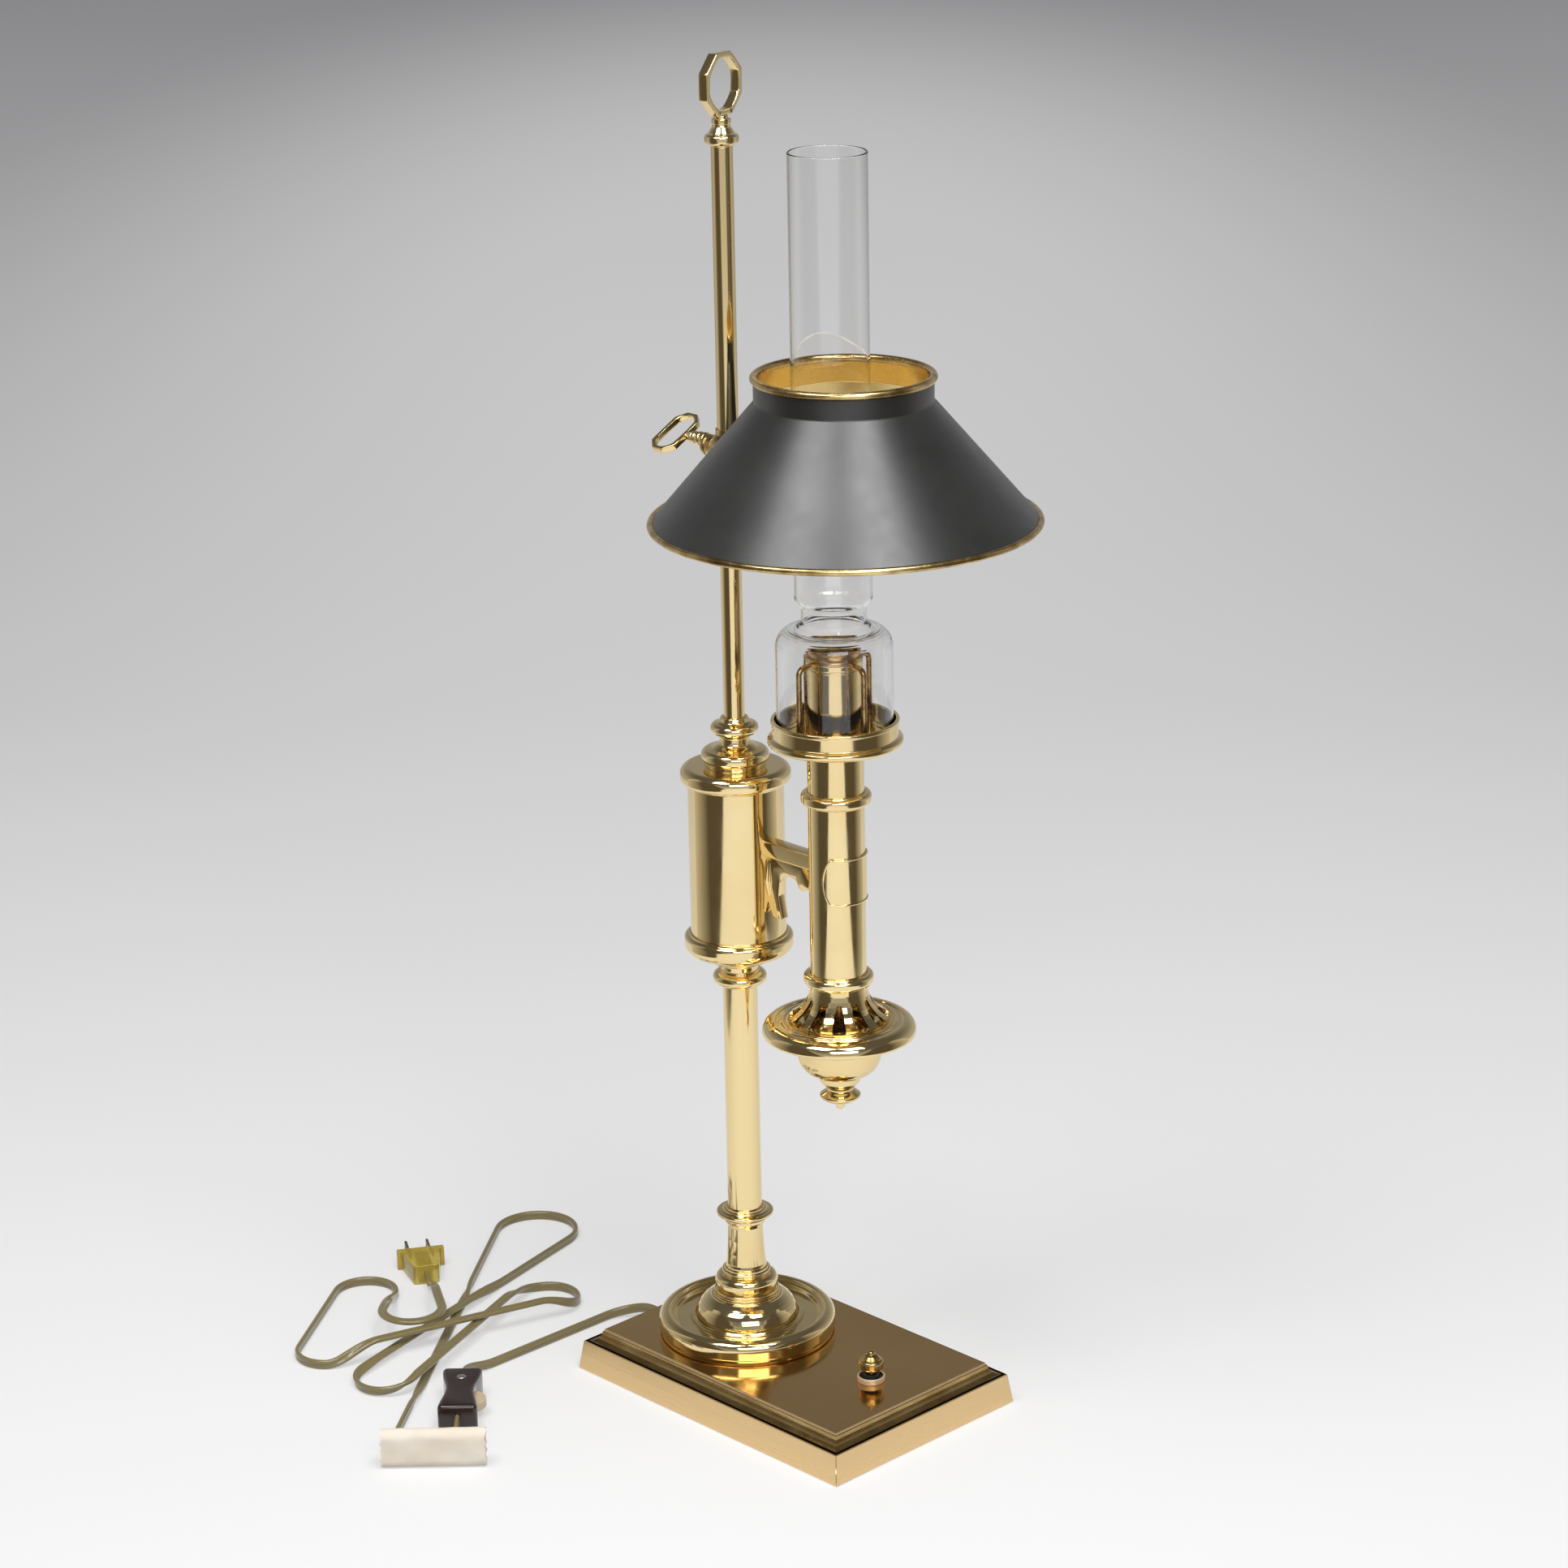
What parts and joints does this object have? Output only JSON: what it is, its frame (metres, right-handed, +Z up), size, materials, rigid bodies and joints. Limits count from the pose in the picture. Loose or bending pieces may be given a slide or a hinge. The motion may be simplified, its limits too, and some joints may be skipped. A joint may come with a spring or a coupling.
{
  "type": "argand lamp",
  "caption": "Brass argand-style reading lamp wired for an electric bulb, with a rod-mounted sliding cone shade, glass chimney, slotted air vent, rectangular base and a corded plug.",
  "frame": {"origin": "centre of the base's underside, on the surface the lamp stands on", "axes": "+Z up along the column, +X from the column towards the burner"},
  "size_m": [0.4419, 0.3262, 0.7356],
  "materials": {
    "polished_brass": "polished",
    "dull_brass": "satin",
    "plain_steel": "satin",
    "felt": "felt",
    "shade_paint": "satin black outside, pale brass inside",
    "copper_brass": "satin",
    "porcelain": "glazed",
    "clear_glass": "clear",
    "dark_plastic": "matte",
    "lead_cover": "satin",
    "pale_nut": "satin",
    "cord_cover": "translucent olive gold",
    "brown_plastic": "glossy",
    "ivory_plastic": "satin",
    "plug_plastic": "translucent yellow",
    "bronze_blades": "tarnished",
    "paper": "plain paper"
  },
  "bodies": {
    "lamp": {"base_shell": "polished_brass", "base_cover": "felt", "foot_dish": "polished_brass", "foot_collar": "polished_brass", "column_root": "polished_brass", "column_ring": "polished_brass", "column_tube": "polished_brass", "column_pipe": "dull_brass", "base_washer": "plain_steel", "base_nut": "plain_steel", "reservoir_collar": "polished_brass", "reservoir_bottom": "polished_brass", "reservoir_nut": "plain_steel", "reservoir_drum": "polished_brass", "reservoir_lid": "polished_brass", "reservoir_turning": "polished_brass", "rod_nut": "plain_steel", "upper_rod": "polished_brass", "top_finial": "polished_brass", "carrying_ring": "polished_brass", "feed_arm": "polished_brass", "arm_scroll": "polished_brass", "burner_tube": "polished_brass", "burner_ring_upper": "polished_brass", "burner_ring_lower": "polished_brass", "burner_plaque": "polished_brass", "burner_pipe": "dull_brass", "gallery": "polished_brass", "gallery_nut": "plain_steel", "socket_sleeve": "polished_brass", "sleeve_cap": "copper_brass", "chimney_prongs": "copper_brass", "lamp_socket": "porcelain", "socket_shell": "polished_brass", "socket_contact": "polished_brass", "air_vent": "polished_brass", "vent_disc": "polished_brass", "drip_bowl": "polished_brass", "drip_finial": "polished_brass", "dimmer_body": "dark_plastic", "dimmer_nut": "pale_nut", "cord_bushing": "dark_plastic", "supply_lead": "lead_cover", "cord_run": "cord_cover", "cord_hank": "cord_cover", "switch_upper": "brown_plastic", "switch_lower": "brown_plastic", "switch_screw": "plain_steel", "plug_body": "plug_plastic", "plug_blades": "bronze_blades", "paper_tag": "paper"},
    "slide_bush": {"clamp_bush": "dull_brass"},
    "shade": {"shade_collar": "polished_brass", "shade_cone": "shade_paint", "shade_neck_rim": "polished_brass", "shade_bottom_rim": "polished_brass"},
    "thumb_screw": {"thumb_screw": "polished_brass"},
    "chimney": {"chimney": "clear_glass"},
    "knob": {"dimmer_knob": "polished_brass"},
    "switch_wheel": {"switch_wheel": "ivory_plastic"}
  },
  "joints": [
    {"name": "shade_slide", "type": "slide", "parent": "lamp", "child": "slide_bush", "axis": [0, 0, 1], "range_m": [-0.12, 0.14]},
    {"name": "shade_swivel", "type": "hinge", "parent": "slide_bush", "child": "shade", "pos_m": [-0.0365, 0, 0.531], "axis": [0, 0, 1], "range_deg": [-5, 5]},
    {"name": "thumb_screw_turn", "type": "hinge", "parent": "shade", "child": "thumb_screw", "pos_m": [-0.0365, 0, 0.531], "axis": [-1, 0, 0], "range_deg": [0, 270]},
    {"name": "chimney_lift", "type": "slide", "parent": "lamp", "child": "chimney", "axis": [0, 0, 1], "range_m": [0, 0.05]},
    {"name": "knob_turn", "type": "hinge", "parent": "lamp", "child": "knob", "pos_m": [0.0608, 0, 0.03], "axis": [0, 0, 1], "range_deg": [0, 300]},
    {"name": "switch_wheel_turn", "type": "hinge", "parent": "lamp", "child": "switch_wheel", "pos_m": [-0.10213, -0.14834, 0.008], "axis": [0, 0, 1], "continuous": true}
  ]
}
